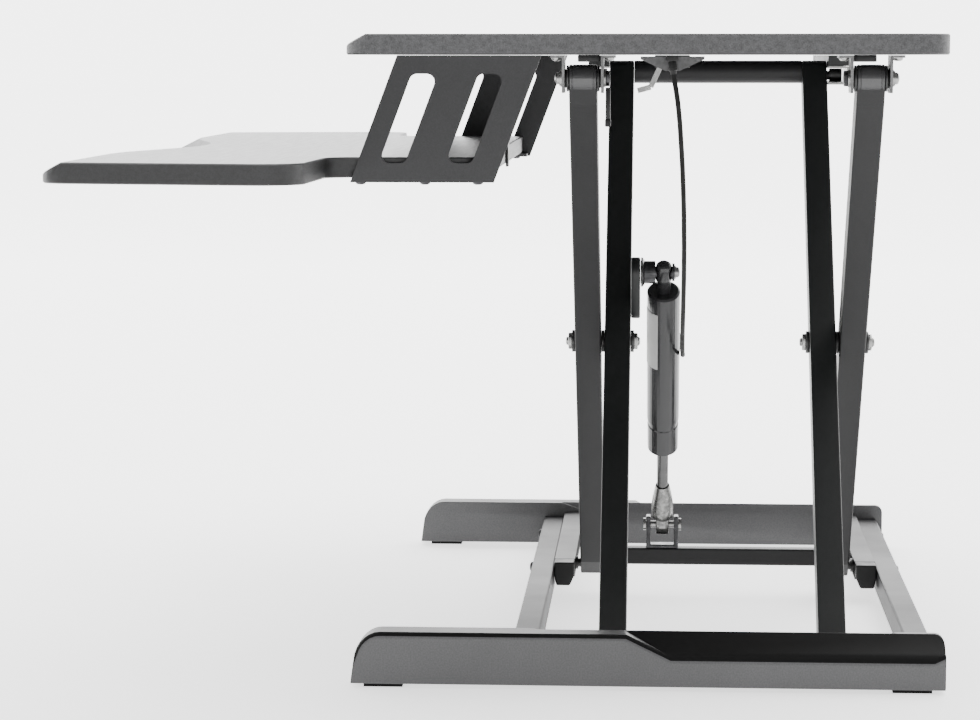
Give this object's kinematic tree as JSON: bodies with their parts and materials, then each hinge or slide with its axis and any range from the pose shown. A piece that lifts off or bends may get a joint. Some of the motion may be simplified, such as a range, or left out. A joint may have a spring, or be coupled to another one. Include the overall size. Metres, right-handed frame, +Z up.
{
  "type": "standing desk converter",
  "caption": "Folding X-frame lift on two feet, carrying a flat desktop and a lower keyboard tray, held at any height by a locking gas spring.",
  "frame": {"origin": "middle of the footprint of the whole object, on the surface that it stands on", "axes": "+X to the user's right along the desktop, -Y towards the user, +Z up"},
  "size_m": [0.9, 0.677, 0.5],
  "materials": {
    "board": "black laminate with a fine grain",
    "gray_steel": "satin dark gray powder coat",
    "black_steel": "satin black powder coat",
    "zinc": "bright zinc plate",
    "dark_bolt": "blackened steel",
    "plastic": "black moulded plastic",
    "rubber": "black rubber",
    "nylon": "gray nylon"
  },
  "bodies": {
    "base": {"foot_right": "gray_steel", "foot_left": "gray_steel", "foot_pad_right_front": "rubber", "foot_pad_right_rear": "rubber", "foot_pad_left_front": "rubber", "foot_pad_left_rear": "rubber", "base_rail_front": "gray_steel", "base_rail_rear": "gray_steel", "base_channel_front": "gray_steel", "base_channel_rear": "gray_steel", "channel_stop_front": "plastic", "channel_stop_rear": "plastic", "leg_lug_front": "gray_steel", "leg_lug_rear": "gray_steel", "leg_pin_front": "dark_bolt", "leg_pin_rear": "dark_bolt"},
    "black_frame": {"black_leg_front": "black_steel", "black_leg_rear": "black_steel", "upper_cross_tube": "gray_steel", "upper_glide_front": "nylon", "upper_glide_rear": "nylon", "scissor_bolt_front": "zinc", "scissor_bolt_rear": "zinc", "spring_plate": "black_steel"},
    "gray_frame": {"gray_leg_front": "gray_steel", "gray_leg_rear": "gray_steel"},
    "desktop": {"desktop_board": "board", "upper_channel_front": "zinc", "upper_channel_rear": "zinc", "upper_channel_spacer_front": "black_steel", "upper_channel_spacer_rear": "black_steel", "hinge_bracket_front_outer": "zinc", "hinge_bracket_front_inner": "zinc", "hinge_bracket_rear_outer": "zinc", "hinge_bracket_rear_inner": "zinc", "hinge_bolt_front": "zinc", "hinge_bolt_rear": "zinc", "keyboard_tray": "board", "tray_bracket_right": "gray_steel", "tray_bracket_left": "gray_steel", "tray_clip": "plastic", "handle_mount": "plastic", "cable_connector": "plastic", "release_cable": "rubber"},
    "carriage": {"carriage_bar": "gray_steel", "lower_glide_front": "nylon", "lower_glide_rear": "nylon", "spring_clevis": "black_steel", "spring_clevis_pin": "zinc"},
    "spring_lower": {"spring_rod": "zinc", "spring_knuckle": "zinc"},
    "spring_upper": {"spring_cylinder": "black_steel", "spring_eye": "black_steel", "spring_boss": "dark_bolt"},
    "handle": {"release_handle": "black_steel"}
  },
  "joints": [
    {"name": "lift", "type": "hinge", "parent": "base", "child": "black_frame", "pos_m": [0.295, 0.169, 0.026], "axis": [0, -1, 0], "range_deg": [0, 42.42], "deforming": ["release_cable"]},
    {"name": "scissor", "type": "hinge", "parent": "black_frame", "child": "gray_frame", "pos_m": [0.11, 0.169, 0.2465], "axis": [0, -1, 0], "range_deg": [-84.84, 0]},
    {"name": "desktop_pivot", "type": "hinge", "parent": "gray_frame", "child": "desktop", "pos_m": [0.295, 0.169, 0.467], "axis": [0, -1, 0], "range_deg": [0, 42.43]},
    {"name": "carriage_pivot", "type": "hinge", "parent": "gray_frame", "child": "carriage", "pos_m": [-0.075, 0.169, 0.026], "axis": [0, -1, 0], "range_deg": [0, 42.43]},
    {"name": "spring_swing", "type": "hinge", "parent": "carriage", "child": "spring_lower", "pos_m": [-0.075, 0.122, 0.062], "axis": [0, -1, 0], "range_deg": [-44.19, 0]},
    {"name": "spring_stroke", "type": "slide", "parent": "spring_lower", "child": "spring_upper", "axis": [0.5937, 0, 0.8047], "range_m": [-0.05578, 0]},
    {"name": "handle_pull", "type": "hinge", "parent": "desktop", "child": "handle", "pos_m": [0.398, 0.1273, 0.4815], "axis": [0, -1, 0], "range_deg": [-6, 0], "stiffness_Nm_per_rad": 1.5}
  ],
  "couplings": [
    {"joint": "scissor", "follows": "lift", "ratio": -2},
    {"joint": "desktop_pivot", "follows": "lift", "ratio": 1},
    {"joint": "carriage_pivot", "follows": "lift", "ratio": 1},
    {"joint": "spring_swing", "follows": "lift", "ratio": -1.0413},
    {"joint": "spring_stroke", "follows": "lift", "m_per_rad": -0.07521}
  ]
}
